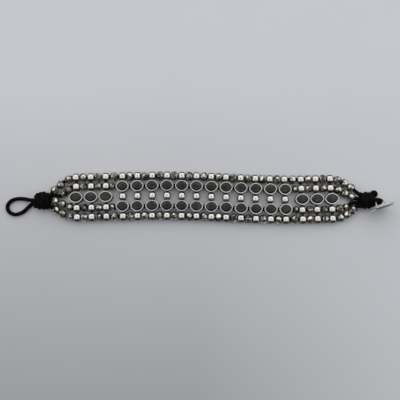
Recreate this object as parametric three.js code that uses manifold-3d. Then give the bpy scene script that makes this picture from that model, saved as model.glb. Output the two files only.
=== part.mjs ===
// Beaded leather bracelet, lying flat and open, in millimetres with +Z up.
// Four leather strands run through 18 silver spacer bars. Each bar is soldered from drilled
// barrels and bezel cups, and each cup holds a black stone. Hammered beads sit on the leather
// between the bars. The strands end in two knots: one has a leather loop, the other a button.

import * as THREE from 'three';
import { mergeVertices } from 'three/addons/utils/BufferGeometryUtils.js';
import Module from 'manifold-3d';

const wasm = await Module();
wasm.setup();

// Leather
const leatherDiameter = 2.0;
const fit = 0.3;
const boreClearance = 0.25;

// Spacer bars
const endBars = 3;
const middleBars = 12;
const barrelDiameter = 4.0;
const barrelLength = 4.3;
const neckThickness = 1.3;
const middleNeck = 0.25;
const endNeck = 0.6;

// Bezel cups and stones
const cupLength = 7.2;
const cupWidth = 5.8;
const cupRim = 0.7;
const recessDepth = 0.8;
const cupWall = 0.3;
const stoneHeight = 0.85;
const stoneBevel = 0.55;
const stoneClearance = 0.25;

// Hammered beads
const outerBeadDiameter = 4.8;
const innerBeadDiameter = 4.3;
const fanBeadDiameter = 4.2;
const smallBeadDiameter = 3.4;
const beadLength = 3.4;
const fanBeadLength = 4.0;
const thinBeadLength = 2.4;
const smallBeadLength = 3.0;
const beadFlatShare = 0.45;

// How the band lies: its middle line swings by the bow, and its end bars lean
const bow = 1.05;
const leanAngle = 3.3;

// Knots
const knotWidth = 9.8;
const leftKnotHeight = 7.2;
const rightKnotHeight = 7.8;
const wrapGroove = 0.45;
const leftKnotOut = 13.9;
const leftKnotAside = -1.75;
const rightKnotOut = 14.5;
const rightKnotAside = -0.9;
const lobeDiameter = 4.2;
const lobeOut = 1.7;

// Button
const buttonDiameter = 13.0;
const buttonThickness = 1.2;
const buttonEdge = 0.35;
const buttonRim = 1.0;
const buttonDish = 0.3;
const buttonHeading = 19;
const buttonLean = 6;
const buttonOut = 25.2;
const buttonAside = -4.1;
const bightAside = 0.5;
const bightSink = 0.3;
const shankWire = 0.7;
const shankWidth = 5.2;
const shankReach = 4.7;

// Facets
const roundSides = 10;
const cordSides = 8;
const boreSides = 6;
const wireSides = 6;
const buttonSides = 16;
const lobeBands = 5;
const loopSteps = 18;
const bightSteps = 8;
const shankSteps = 9;

// Worked-out sizes
const leatherRadius = leatherDiameter / 2;
const flatShare = Math.cos(Math.PI / roundSides);
const barrelReach = (barrelDiameter / 2) * flatShare;
const tallestBead = Math.max(outerBeadDiameter, innerBeadDiameter, barrelDiameter);
const strandHeight = (tallestBead / 2) * flatShare;
const pitch = Math.max(2 * barrelReach + beadLength, cupLength) + 2 * fit;
const crossoverPitch = barrelReach + thinBeadLength + cupLength / 2 + 3 * fit;
const boreRadius = (leatherRadius + boreClearance) / Math.cos(Math.PI / boreSides);
const cupFloor = strandHeight + boreRadius + cupWall;
const cupTop = cupFloor + recessDepth;
const cupBottom = strandHeight - boreRadius - cupWall;

const middleInner = barrelLength / 2 + middleNeck + cupWidth / 2;
const middleOuter = 2 * middleInner;
const endInner = cupWidth / 2 + endNeck + barrelLength / 2;
const endSpacing = Math.max(barrelLength + endNeck, (outerBeadDiameter + innerBeadDiameter) / 2 + fit);
const endOuter = endInner + endSpacing;

// The rows from the far edge of the band to the near one
const layout = {
  end: {
    rows: [endOuter, endInner, 0, -endInner, -endOuter],
    forms: ['barrel', 'barrel', 'cup', 'barrel', 'barrel'],
  },
  middle: {
    rows: [middleOuter, middleInner, 0, -middleInner, -middleOuter],
    forms: ['barrel', 'cup', 'barrel', 'cup', 'barrel'],
  },
};
const strandRows = [0, 1, 3, 4];
const followedBars = 3;
const rowNames = ['1', '2', '3', '4', '5'];

// Shares of half the band's length, of the bow and of the lean, from left to right
const bandForm = [
  { along: -1.0, aside: 0.05, lean: 0.8 },
  { along: -0.65, aside: 0.6, lean: 0.35 },
  { along: -0.3, aside: 1.0, lean: 0.0 },
  { along: 0.05, aside: 0.4, lean: 0.0 },
  { along: 0.35, aside: -0.5, lean: 0.1 },
  { along: 0.65, aside: -1.0, lean: 0.55 },
  { along: 1.0, aside: -0.65, lean: 1.0 },
];

// Routes of the strands beyond the last bars, out from the bar's middle: each step turns the
// leather to a heading towards the middle of the band, and carries a bead or is bare.
// The bare ends are places in front of the knot: aside from the last bar, and up from the floor.
const fanRoutes = {
  left: [
    {
      steps: [
        { bead: 'fan', heading: 28 },
        { bare: 1.0, heading: 34 },
        { bead: 'fan', heading: 42, up: 2.6 },
        { bead: 'fan', heading: 48, up: 3.3 },
      ],
      ends: [{ before: 0, aside: 1.0, up: 3.9 }],
    },
    {
      steps: [
        { bare: 0.5, heading: 30 },
        { bead: 'fan', heading: 44 },
        { bead: 'small', heading: 38, up: 1.7 },
      ],
      ends: [
        { before: 3.8, aside: 0.95, up: 1.08 },
        { before: 0, aside: 0.8, up: 1.2 },
      ],
    },
    {
      steps: [
        { bead: 'fan', heading: 20 },
        { bead: 'fan', heading: 25, up: 2.6 },
        { bead: 'fan', heading: 20, up: 3.25 },
      ],
      ends: [{ before: 0, aside: -1.2, up: 3.3 }],
    },
    {
      steps: [
        { bead: 'fan', heading: 17 },
        { bead: 'fan', heading: 26 },
        { bead: 'fan', heading: 34 },
      ],
      ends: [{ before: 0, aside: -4.9, up: 2.7 }],
    },
  ],
  right: [
    {
      steps: [
        { bead: 'fan', heading: 19 },
        { bead: 'fan', heading: 28 },
        { bead: 'fan', heading: 39 },
      ],
      ends: [{ before: 0, aside: 2.6, up: 3.6 }],
    },
    {
      steps: [
        { bead: 'fan', heading: 26 },
        { bead: 'fan', heading: 32 },
        { bead: 'fan', heading: 22 },
      ],
      ends: [{ before: 0, aside: 0.0, up: 2.9 }],
    },
    {
      steps: [
        { bead: 'fan', heading: 14 },
        { bead: 'small', heading: 20, up: 1.7 },
      ],
      ends: [
        { before: 3.4, aside: -2.3, up: 1.08 },
        { before: 0, aside: -2.1, up: 1.4 },
      ],
    },
    {
      steps: [
        { bead: 'fan', heading: 18 },
        { bead: 'fan', heading: 30 },
        { bead: 'fan', heading: 45 },
      ],
      ends: [{ before: 0, aside: -3.9, up: 3.4 }],
    },
  ],
};

// Route of the loop's leather: out from the left knot's far face, aside from its middle, up
const loopRoute = [
  { out: 0.6, aside: 0.2, up: 3.4 },
  { out: 2.7, aside: 0.35, up: 2.8 },
  { out: 5.5, aside: 0.95, up: 1.6 },
  { out: 9.5, aside: 1.2, up: 1.05 },
  { out: 12.8, aside: 0.25, up: 1.05 },
  { out: 14.8, aside: -1.9, up: 1.05 },
  { out: 14.95, aside: -4.2, up: 1.05 },
  { out: 13.6, aside: -6.2, up: 1.05 },
  { out: 10.6, aside: -7.2, up: 1.05 },
  { out: 6.8, aside: -5.85, up: 1.05 },
  { out: 4.2, aside: -3.5, up: 1.05 },
  { out: 2.1, aside: -1.55, up: 1.05 },
  { out: 0.8, aside: -0.8, up: 1.05 },
];

// Shares of the knots' half width: each wrap of leather from the band outwards, and the lobe
const leftWraps = [0.86, 1.0, 0.94, 0.82];
const rightWraps = [0.82, 0.94, 0.9];
const lobeShare = 0.68;

const silver = new THREE.MeshStandardMaterial({ color: 0xb9b4a8, metalness: 1.0, roughness: 0.28 });
const stone = new THREE.MeshStandardMaterial({ color: 0x17171a, metalness: 0.0, roughness: 0.12 });
const leather = new THREE.MeshStandardMaterial({ color: 0x14110f, metalness: 0.0, roughness: 0.6 });
const beadedLeather = new THREE.MeshStandardMaterial({ color: 0x8f8b82, metalness: 0.8, roughness: 0.4 });

// A closed mesh of position and index alone, with shared vertices and no empty triangles
function closed(geometry) {
  const bare = new THREE.BufferGeometry();
  bare.setAttribute('position', geometry.getAttribute('position'));
  if (geometry.index) bare.setIndex(geometry.index);
  return withoutCapMiddles(withoutEmptyTriangles(mergeVertices(bare, 1e-4)));
}

function withoutEmptyTriangles(geometry) {
  const corners = geometry.index.array;
  const kept = [];
  for (let i = 0; i < corners.length; i += 3) {
    const [a, b, c] = [corners[i], corners[i + 1], corners[i + 2]];
    if (a !== b && b !== c && c !== a) kept.push(a, b, c);
  }
  geometry.setIndex(kept);
  return geometry;
}

// A flat round cap needs no vertex in its middle: its triangles fan out from one corner instead
function withoutCapMiddles(geometry) {
  const place = geometry.getAttribute('position');
  const corners = Array.from(geometry.index.array);
  const around = new Map();
  for (let i = 0; i < corners.length; i += 3) {
    const points = [0, 1, 2].map((k) => new THREE.Vector3().fromBufferAttribute(place, corners[i + k]));
    const normal = new THREE.Triangle(...points).getNormal(new THREE.Vector3());
    for (let k = 0; k < 3; k += 1) {
      const seen = around.get(corners[i + k]) ?? { normal, flat: true, neighbour: corners[i + ((k + 1) % 3)] };
      seen.flat = seen.flat && seen.normal.dot(normal) > 1 - 1e-9;
      around.set(corners[i + k], seen);
    }
  }
  geometry.setIndex(corners.map((corner) => (around.get(corner).flat ? around.get(corner).neighbour : corner)));
  return withoutEmptyTriangles(mergeVertices(geometry, 1e-4));
}

function toSolid(geometry) {
  const welded = closed(geometry);
  return new wasm.Manifold(new wasm.Mesh({
    numProp: 3,
    vertProperties: Float32Array.from(welded.getAttribute('position').array),
    triVerts: Uint32Array.from(welded.index.array),
  }));
}

function fromSolid(solid) {
  const mesh = solid.getMesh();
  const geometry = new THREE.BufferGeometry();
  geometry.setAttribute('position', new THREE.BufferAttribute(mesh.vertProperties, 3));
  geometry.setIndex(new THREE.BufferAttribute(mesh.triVerts, 1));
  return geometry;
}

function lathe(profile, sides) {
  return new THREE.LatheGeometry(profile.map(([radius, along]) => new THREE.Vector2(radius, along)), sides);
}

// A barrel of a spacer bar, round the bar's own axis
function barrel(aside) {
  const radius = barrelDiameter / 2;
  const geometry = new THREE.CylinderGeometry(radius, radius, barrelLength, roundSides);
  return geometry.translate(0, aside, strandHeight);
}

// Turns a lathed outline upright and stretches it to a pointed oval with flat long sides
function pointedOval(geometry, length, width) {
  geometry.rotateX(Math.PI / 2);
  geometry.rotateZ(Math.PI / 2);
  geometry.scale(length / 2, width / 2 / flatShare, 1);
  return geometry;
}

// A bezel cup: its lip slopes from the outer edge down to the floor that carries the stone
function cup(aside) {
  const lipShare = 1 - (2 * cupRim) / cupLength;
  const profile = [
    [0, cupBottom],
    [1, cupBottom],
    [1, cupTop],
    [lipShare, cupFloor],
    [0, cupFloor],
  ];
  return pointedOval(lathe(profile, roundSides), cupLength, cupWidth).translate(0, aside, 0);
}

// A stone with a flat table and bevelled sides, seated inside the lip
function cabochon(aside) {
  const seat = cupFloor + stoneClearance;
  const lipRun = (cupRim * stoneClearance) / recessDepth;
  const inset = cupRim - lipRun + stoneClearance;
  const tableShare = 1 - (2 * stoneBevel) / (cupLength - 2 * inset);
  const profile = [
    [0, seat],
    [1, seat],
    [tableShare, seat + stoneHeight],
    [0, seat + stoneHeight],
  ];
  const outline = pointedOval(lathe(profile, roundSides), cupLength - 2 * inset, cupWidth - 2 * inset);
  return outline.translate(0, aside, 0);
}

// The soldered neck that joins two neighbours in a bar, let a little into each
function neck(from, to) {
  const bite = 0.3;
  const length = Math.abs(from - to) + 2 * bite;
  const geometry = new THREE.BoxGeometry(neckThickness, length, neckThickness);
  return geometry.translate(0, (from + to) / 2, strandHeight);
}

function halfSpan(form) {
  return form === 'cup' ? cupWidth / 2 : barrelLength / 2;
}

// One kind of spacer bar: barrels, cups and necks joined, then drilled for the strands
function spacerBar({ rows, forms }) {
  const pieces = rows.map((aside, row) => toSolid(forms[row] === 'cup' ? cup(aside) : barrel(aside)));
  for (let row = 0; row + 1 < rows.length; row += 1) {
    const from = rows[row] - halfSpan(forms[row]);
    const to = rows[row + 1] + halfSpan(forms[row + 1]);
    pieces.push(toSolid(neck(from, to)));
  }
  let bar = pieces.reduce((whole, piece) => whole.add(piece));
  for (const row of strandRows) {
    const bore = new THREE.CylinderGeometry(boreRadius, boreRadius, 2 * cupLength, boreSides);
    bore.rotateZ(Math.PI / 2);
    bore.translate(0, rows[row], strandHeight);
    bar = bar.subtract(toSolid(bore));
  }
  return fromSolid(bar);
}

// A body of round rings: each ring has a middle, a direction and a radius
function ringedBody(rings, sides) {
  const profile = rings.map(({ radius }, order) => new THREE.Vector2(radius, order));
  profile.unshift(new THREE.Vector2(0, 0));
  profile.push(new THREE.Vector2(0, rings.length - 1));
  const geometry = new THREE.LatheGeometry(profile, sides);
  const place = geometry.getAttribute('position');
  const up = new THREE.Vector3(0, 0, 1);
  const halfFacet = Math.PI / sides;
  for (let i = 0; i < place.count; i += 1) {
    const onProfile = i % profile.length;
    const turn = (Math.floor(i / profile.length) * 2 * Math.PI) / sides + halfFacet;
    const order = Math.min(Math.max(onProfile - 1, 0), rings.length - 1);
    const { middle, direction } = rings[order];
    const radius = profile[onProfile].x;
    const side = new THREE.Vector3().crossVectors(direction, up).normalize();
    const top = new THREE.Vector3().crossVectors(side, direction);
    const point = middle.clone();
    point.addScaledVector(side, radius * Math.sin(turn));
    point.addScaledVector(top, radius * Math.cos(turn));
    place.setXYZ(i, point.x, point.y, point.z);
  }
  return closed(geometry);
}

// A strand: leather through all its places, with a bead on each stretch that names a diameter
function strand(places) {
  const rings = [];
  const heading = (from, to) => new THREE.Vector3().subVectors(to.point, from.point).normalize();
  places.forEach((place, order) => {
    const before = order > 0 ? heading(places[order - 1], place) : null;
    const after = order + 1 < places.length ? heading(place, places[order + 1]) : null;
    const direction = place.facing ?? new THREE.Vector3().add(before ?? after).add(after ?? before).normalize();
    rings.push({ middle: place.point, direction, radius: leatherRadius });
    if (!place.bead) return;
    const next = places[order + 1].point;
    const middle = place.point.clone().lerp(next, 0.5);
    const reach = (place.point.distanceTo(next) * beadFlatShare) / 2;
    for (const end of [-1, 1]) {
      const at = middle.clone().addScaledVector(after, end * reach);
      rings.push({ middle: at, direction: after, radius: place.bead / 2 });
    }
  });
  return ringedBody(rings, roundSides);
}

// Where each bar stands: its middle, how it leans and which kind it is
function placeBars() {
  const count = 2 * endBars + middleBars;
  const kinds = Array.from({ length: count }, (_, bar) => {
    return bar < endBars || bar >= endBars + middleBars ? 'end' : 'middle';
  });
  const along = [0];
  for (let bar = 1; bar < count; bar += 1) {
    along.push(along[bar - 1] + (kinds[bar] === kinds[bar - 1] ? pitch : crossoverPitch));
  }
  const half = along[count - 1] / 2;
  const form = new THREE.CubicInterpolant(
    bandForm.map((row) => row.along),
    bandForm.flatMap((row) => [row.aside, row.lean]),
    2,
  );
  return along.map((distance, bar) => {
    const [aside, lean] = form.evaluate(distance / half - 1);
    return {
      kind: kinds[bar],
      middle: new THREE.Vector3(distance - half, aside * bow, 0),
      lean: THREE.MathUtils.degToRad(lean * leanAngle),
    };
  });
}

const bars = placeBars();

function borePlace(bar, row) {
  const across = new THREE.Vector3(0, layout[bar.kind].rows[row], strandHeight);
  return across.applyAxisAngle(new THREE.Vector3(0, 0, 1), bar.lean).add(bar.middle);
}

// Two places that hold a bead between them, on the line from one place to another
function beadOn(from, to, distance, length, diameter) {
  const direction = new THREE.Vector3().subVectors(to, from).normalize();
  return [
    { point: from.clone().addScaledVector(direction, distance - length / 2), bead: diameter },
    { point: from.clone().addScaledVector(direction, distance + length / 2) },
  ];
}

// The strand's places between the first and the last bar
function bandPlaces(row) {
  const outerRow = row === strandRows[0] || row === strandRows[strandRows.length - 1];
  const places = [];
  for (let bar = 0; bar + 1 < bars.length; bar += 1) {
    const from = borePlace(bars[bar], row);
    const to = borePlace(bars[bar + 1], row);
    const span = from.distanceTo(to);
    const kinds = [bars[bar].kind, bars[bar + 1].kind];
    if (outerRow) {
      places.push(...beadOn(from, to, span / 2, beadLength, outerBeadDiameter));
    } else if (kinds[0] === 'end' && kinds[1] === 'end') {
      places.push(...beadOn(from, to, span / 2, beadLength, innerBeadDiameter));
    } else if (kinds[0] === 'end') {
      const thin = barrelReach + fit + thinBeadLength / 2;
      places.push(...beadOn(from, to, thin, thinBeadLength, innerBeadDiameter));
      places.push({ point: to });
    } else if (kinds[1] === 'end') {
      const thin = span - barrelReach - fit - thinBeadLength / 2;
      places.push({ point: from });
      places.push(...beadOn(from, to, thin, thinBeadLength, innerBeadDiameter));
    } else if ((bar - endBars) % followedBars === 1) {
      places.push({ point: from });
    }
  }
  return places;
}

const beadKinds = {
  fan: { length: fanBeadLength, diameter: fanBeadDiameter },
  small: { length: smallBeadLength, diameter: smallBeadDiameter },
};

// The strand's places from the last bar out to the knot, on the left or the right
function fanPlaces(side, order) {
  const outward = side === 'left' ? -1 : 1;
  const bar = side === 'left' ? bars[0] : bars[bars.length - 1];
  const row = strandRows[order];
  const inward = layout.end.rows[row] > 0 ? -1 : 1;
  const route = fanRoutes[side][order];
  const at = borePlace(bar, row);
  at.x += outward * (barrelReach + fit);
  const places = [{ point: at.clone() }];
  for (const step of route.steps) {
    const kind = beadKinds[step.bead];
    const length = kind ? kind.length : step.bare;
    const turn = THREE.MathUtils.degToRad(step.heading);
    const drop = (step.up ?? strandHeight) - at.z;
    const run = Math.sqrt(length * length - drop * drop);
    at.x += outward * run * Math.cos(turn);
    at.y += inward * run * Math.sin(turn);
    at.z += drop;
    if (kind) places[places.length - 1].bead = kind.diameter;
    places.push({ point: at.clone() });
  }
  const knotOut = side === 'left' ? leftKnotOut : rightKnotOut;
  for (const end of route.ends) {
    const x = bar.middle.x + outward * (knotOut - fit - end.before);
    places.push({ point: new THREE.Vector3(x, bar.middle.y + end.aside, end.up) });
  }
  places[places.length - 1].facing = new THREE.Vector3(1, 0, 0);
  return places;
}

function wholeStrand(order) {
  const left = fanPlaces('left', order);
  const right = fanPlaces('right', order);
  const beadsBack = left.map((place, step) => (step > 0 ? left[step - 1].bead : undefined));
  const leftward = left.map((place, step) => ({ ...place, bead: beadsBack[step] })).reverse();
  return strand([...leftward, ...bandPlaces(strandRows[order]), ...right]);
}

// A knot of leather wraps round the line of the band, from its inner face outwards
function wrappedKnot(wraps, height) {
  const profile = [];
  const half = knotWidth / 2;
  const faceDrop = leatherRadius * 0.6;
  profile.push([0, 0], [wraps[0] * half - faceDrop, 0]);
  wraps.forEach((share, wrap) => {
    profile.push([share * half, (wrap + 0.5) * leatherDiameter]);
    if (wrap + 1 < wraps.length) {
      const groove = Math.min(share, wraps[wrap + 1]) * half - wrapGroove;
      profile.push([groove, (wrap + 1) * leatherDiameter]);
    }
  });
  const end = wraps.length * leatherDiameter;
  profile.push([wraps[wraps.length - 1] * half - faceDrop, end], [0, end]);
  const geometry = lathe(profile, roundSides);
  geometry.rotateY(Math.PI / roundSides);
  geometry.rotateZ(-Math.PI / 2);
  geometry.scale(1, 1, height / knotWidth / flatShare);
  return geometry.translate(0, 0, height / 2);
}

function tube(points, diameter, steps, sides) {
  const section = new THREE.Shape();
  for (let side = 0; side < sides; side += 1) {
    const turn = ((side + 0.5) * 2 * Math.PI) / sides;
    const [x, y] = [(Math.cos(turn) * diameter) / 2, (Math.sin(turn) * diameter) / 2];
    if (side === 0) section.moveTo(x, y);
    else section.lineTo(x, y);
  }
  section.closePath();
  const extrudePath = new THREE.CatmullRomCurve3(points, false, 'centripetal');
  return new THREE.ExtrudeGeometry(section, { steps, extrudePath, curveSegments: 1 });
}

// The places of the knots and the button in the band's own frame
const firstBar = bars[0].middle;
const lastBar = bars[bars.length - 1].middle;
const leftKnot = new THREE.Vector3(firstBar.x - leftKnotOut, firstBar.y + leftKnotAside, 0);
const rightKnot = new THREE.Vector3(lastBar.x + rightKnotOut, lastBar.y + rightKnotAside, 0);
const buttonPlace = new THREE.Vector3(lastBar.x + buttonOut, lastBar.y + buttonAside, 0);

function leatherLoop() {
  const far = leftKnot.x - leftWraps.length * leatherDiameter;
  const points = loopRoute.map(({ out, aside, up }) => {
    return new THREE.Vector3(far - out, leftKnot.y + aside, up);
  });
  return closed(tube(points, leatherDiameter, loopSteps, cordSides));
}

// The button's own frame: its front looks along +Z, and its shank stands off behind
function buttonMatrix() {
  const lean = THREE.MathUtils.degToRad(buttonLean);
  const stand = new THREE.Matrix4().makeRotationX(Math.PI / 2 - lean);
  const turn = new THREE.Matrix4().makeRotationZ(THREE.MathUtils.degToRad(buttonHeading));
  const height = (buttonDiameter / 2) * Math.cos(lean) + buttonThickness * Math.sin(lean);
  const place = new THREE.Matrix4().makeTranslation(buttonPlace.x, buttonPlace.y, height);
  return place.multiply(turn).multiply(stand);
}

function shankPoint(aside, behind) {
  return new THREE.Vector3(aside, 0, -behind);
}

function button() {
  const radius = buttonDiameter / 2;
  const disc = lathe([
    [0, 0],
    [radius - buttonEdge, 0],
    [radius, buttonEdge],
    [radius, buttonThickness - buttonEdge],
    [radius - buttonRim, buttonThickness],
    [radius - buttonRim - buttonDish, buttonThickness - buttonDish],
    [0, buttonThickness - buttonDish],
  ], buttonSides);
  disc.rotateX(Math.PI / 2);
  const half = (shankWidth - shankWire) / 2;
  const reach = shankReach - shankWire / 2;
  const foot = buttonThickness / 3;
  const shank = tube([
    shankPoint(-half, -foot),
    shankPoint(-half, reach * 0.35),
    shankPoint(-half * 0.75, reach * 0.8),
    shankPoint(0, reach),
    shankPoint(half * 0.75, reach * 0.8),
    shankPoint(half, reach * 0.35),
    shankPoint(half, -foot),
  ], shankWire, shankSteps, wireSides);
  return fromSolid(toSolid(disc).add(toSolid(shank))).applyMatrix4(buttonMatrix());
}

// The right knot with its side lobe and the bight of leather that holds the button's shank
function buttonKnot() {
  const knot = wrappedKnot(rightWraps, rightKnotHeight).translate(rightKnot.x, rightKnot.y, 0);
  const knotEnd = rightKnot.x + rightWraps.length * leatherDiameter;
  const lobe = new THREE.SphereGeometry(lobeDiameter / 2, cordSides, lobeBands).rotateX(Math.PI / 2);
  const lobeY = rightKnot.y + (lobeShare * knotWidth) / 2;
  lobe.translate(knotEnd + lobeOut, lobeY, rightKnotHeight / 2);
  const frame = buttonMatrix();
  const apex = shankPoint(bightAside, shankReach - shankWire / 2 - bightSink).applyMatrix4(frame);
  const eye = shankPoint(bightAside, 0).applyMatrix4(frame);
  const toEye = eye.clone().sub(apex).setZ(0).normalize();
  const bend = leatherRadius + shankWire / 2 + fit;
  const root = new THREE.Vector3(knotEnd - leatherDiameter, rightKnot.y, 0);
  const round = (out, up) => apex.clone().addScaledVector(toEye, out * bend).setZ(apex.z + up * bend);
  const bight = tube([
    root.clone().setZ(rightKnotHeight / 2 + bend),
    round(-0.4, 1),
    round(0.5, 0.9),
    round(1, 0),
    round(0.5, -0.9),
    round(-0.4, -1),
    root.clone().setZ(rightKnotHeight / 2 - bend),
  ], leatherDiameter, bightSteps, cordSides);
  return fromSolid(toSolid(knot).add(toSolid(lobe)).add(toSolid(bight)));
}

const bracelet = new THREE.Group();

function addMesh(parent, name, geometry, material) {
  const mesh = new THREE.Mesh(geometry, material);
  mesh.name = name;
  parent.add(mesh);
}

// The spacer bars, each with its stones
const barGeometry = { end: spacerBar(layout.end), middle: spacerBar(layout.middle) };
bars.forEach((bar, order) => {
  const group = new THREE.Group();
  group.position.copy(bar.middle);
  group.rotation.z = bar.lean;
  bracelet.add(group);
  const number = String(order + 1).padStart(2, '0');
  addMesh(group, `spacer_bar_${number}`, barGeometry[bar.kind], silver);
  const { rows, forms } = layout[bar.kind];
  rows.forEach((aside, row) => {
    if (forms[row] !== 'cup') return;
    addMesh(group, `stone_${number}_row_${rowNames[row]}`, closed(cabochon(aside)), stone);
  });
});

strandRows.forEach((row, order) => {
  addMesh(bracelet, `strand_row_${rowNames[row]}`, wholeStrand(order), beadedLeather);
});

const leftKnotGeometry = closed(wrappedKnot(leftWraps, leftKnotHeight).rotateZ(Math.PI));
addMesh(bracelet, 'knot_left', leftKnotGeometry.translate(leftKnot.x, leftKnot.y, 0), leather);
addMesh(bracelet, 'knot_right', buttonKnot(), leather);
addMesh(bracelet, 'leather_loop', leatherLoop(), leather);
addMesh(bracelet, 'button', button(), silver);

// The origin is under the middle of the whole bracelet, on the surface that it lies on
const box = new THREE.Box3().setFromObject(bracelet, true);
const centre = box.getCenter(new THREE.Vector3());
bracelet.position.set(-centre.x, -centre.y, 0);

export default bracelet;
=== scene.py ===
"""Looks of the beaded leather bracelet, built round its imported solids. Lengths are in millimetres
until a mesh is made, which turns them into metres. Materials are in metres throughout."""

import math

import bpy
import numpy as np
from mathutils import Matrix, Vector


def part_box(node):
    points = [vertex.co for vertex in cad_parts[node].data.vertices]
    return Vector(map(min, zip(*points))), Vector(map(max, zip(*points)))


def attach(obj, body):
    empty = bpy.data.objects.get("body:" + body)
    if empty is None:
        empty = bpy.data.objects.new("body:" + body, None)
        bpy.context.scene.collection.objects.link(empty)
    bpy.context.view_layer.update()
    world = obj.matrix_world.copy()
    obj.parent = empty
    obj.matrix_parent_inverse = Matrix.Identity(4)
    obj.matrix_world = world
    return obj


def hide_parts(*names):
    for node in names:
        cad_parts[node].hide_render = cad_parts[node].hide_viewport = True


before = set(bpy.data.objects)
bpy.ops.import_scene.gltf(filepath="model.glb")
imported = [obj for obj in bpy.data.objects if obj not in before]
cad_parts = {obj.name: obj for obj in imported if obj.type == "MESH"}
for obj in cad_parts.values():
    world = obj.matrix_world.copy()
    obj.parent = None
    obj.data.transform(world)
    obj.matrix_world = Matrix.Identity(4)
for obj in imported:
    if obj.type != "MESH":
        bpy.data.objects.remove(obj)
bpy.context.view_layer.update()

MM = 0.001
TAU = 2 * math.pi
rng = np.random.default_rng(41)

# Sizes of the pieces: those of the solids, or up to 0.3 mm off. The solids' beads and barrels have
# ten sides, and the middle of a side reaches this share as far as its corners.
FLAT_SHARE = math.cos(math.pi / 10)
LEATHER_RADIUS = 1.0
BEAD_LENGTH = 3.4
THIN_LENGTH = 2.4
OUTER_BEAD = 4.8
INNER_BEAD = 4.3
STRAND_HEIGHT = OUTER_BEAD / 2 * FLAT_SHARE
END_BARS = 3
BARS = 18
FIT = 0.3
BARREL_RADIUS = 1.95
BARREL_REACH = 2.0 * FLAT_SHARE
BARREL_LENGTH = 4.3
MIDDLE_NECK = 0.25
END_NECK = 0.6
CUP_LENGTHS = {"end": 7.35, "middle": 6.9}
CUP_WIDTH = 5.8
CUP_BOTTOM = 0.3
CUP_TOP = 4.83
CUP_FLOOR = 4.03
MIDDLE_INNER = BARREL_LENGTH / 2 + MIDDLE_NECK + CUP_WIDTH / 2
END_INNER = CUP_WIDTH / 2 + END_NECK + BARREL_LENGTH / 2
END_OUTER = END_INNER + BARREL_LENGTH + END_NECK
KNOT_WIDTH = 9.8
LEFT_KNOT_LENGTH = 8.0
LEFT_KNOT_HEIGHT = 7.2
LEFT_KNOT_ASIDE = -1.75
RIGHT_KNOT_HEIGHT = 7.8
RIGHT_KNOT_ASIDE = -0.9

# Length and diameter of the beads beyond the last bars
FAN_BEADS = {"fan": (4.0, 4.4), "small": (3.0, 3.5)}

# The rows of both kinds of bar, from the far edge of the band to the near one: place and form
LAYOUT = {
    "end": [
        (END_OUTER, "barrel"),
        (END_INNER, "barrel"),
        (0.0, "cup"),
        (-END_INNER, "barrel"),
        (-END_OUTER, "barrel"),
    ],
    "middle": [
        (2 * MIDDLE_INNER, "barrel"),
        (MIDDLE_INNER, "cup"),
        (0.0, "barrel"),
        (-MIDDLE_INNER, "cup"),
        (-2 * MIDDLE_INNER, "barrel"),
    ],
}
STRAND_ROWS = [0, 1, 3, 4]

# Routes of the strands beyond the last bars. A step is a bead and its heading, or a bare length,
# and may name the height at its end. An end is a place: distance before the knot, aside from the
# last bar, and height.
FANS = {
    "left": [
        ([("fan", 28), (1.0, 34), ("fan", 42, 2.6), ("fan", 48, 3.3)], [(0, 1.0, 3.9)]),
        ([(0.5, 30), ("fan", 44), ("small", 38, 1.7)], [(3.8, 0.95, 1.08), (0, 0.8, 1.2)]),
        ([("fan", 20), ("fan", 25, 2.6), ("fan", 20, 3.25)], [(0, -1.2, 3.3)]),
        ([("fan", 17), ("fan", 26), ("fan", 34)], [(0, -4.9, 2.7)]),
    ],
    "right": [
        ([("fan", 19), ("fan", 28), ("fan", 39)], [(0, 2.6, 3.6)]),
        ([("fan", 26), ("fan", 32), ("fan", 22)], [(0, 0.0, 2.9)]),
        ([("fan", 14), ("small", 20, 1.7)], [(3.4, -2.3, 1.08), (0, -2.1, 1.4)]),
        ([("fan", 18), ("fan", 30), ("fan", 45)], [(0, -3.9, 3.4)]),
    ],
}
KNOT_OUT = {"left": 13.9, "right": 14.5}

# Wraps of both knots: middle along the knot, share of the knot's width and height, how far the
# top slants out, radius of the leather, and how far the far side turns out
LEFT_WRAPS = [
    (1.05, 0.88, 0.05, 1.05, 0.15),
    (3.0, 1.0, 0.10, 1.10, 0.10),
    (4.95, 0.96, 0.05, 1.05, -0.25),
    (6.85, 0.84, -0.10, 1.05, -0.45),
]
RIGHT_WRAPS = [
    (1.1, 0.84, 0.2, 1.05, 0.1),
    (3.1, 0.94, -0.2, 1.10, 0.25),
    (5.0, 0.90, 0.1, 1.05, -0.1),
    (6.6, 0.74, 0.0, 1.0, -0.35),
]

# Route of the leather that crosses over the left knot's wraps: along, aside and height
LEFT_CROSSING = [
    (6.9, 2.2, 5.2),
    (5.4, 0.4, 6.9),
    (3.6, -1.6, 6.6),
    (1.9, -3.2, 4.9),
    (1.2, -3.8, 3.2),
]

# Route of the loop: out from the left knot's far face, aside from its middle, and height
LOOP = [
    (-1.2, 0.1, 3.6),
    (0.6, 0.2, 3.4),
    (2.7, 0.35, 2.8),
    (5.5, 0.95, 1.6),
    (9.5, 1.2, 1.05),
    (12.8, 0.25, 1.05),
    (14.8, -1.9, 1.05),
    (14.95, -4.2, 1.05),
    (13.6, -6.2, 1.05),
    (10.6, -7.2, 1.05),
    (6.8, -5.85, 1.05),
    (4.2, -3.5, 1.05),
    (2.1, -1.55, 1.05),
    (0.8, -0.8, 1.05),
    (-1.0, -0.4, 1.3),
]

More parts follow.
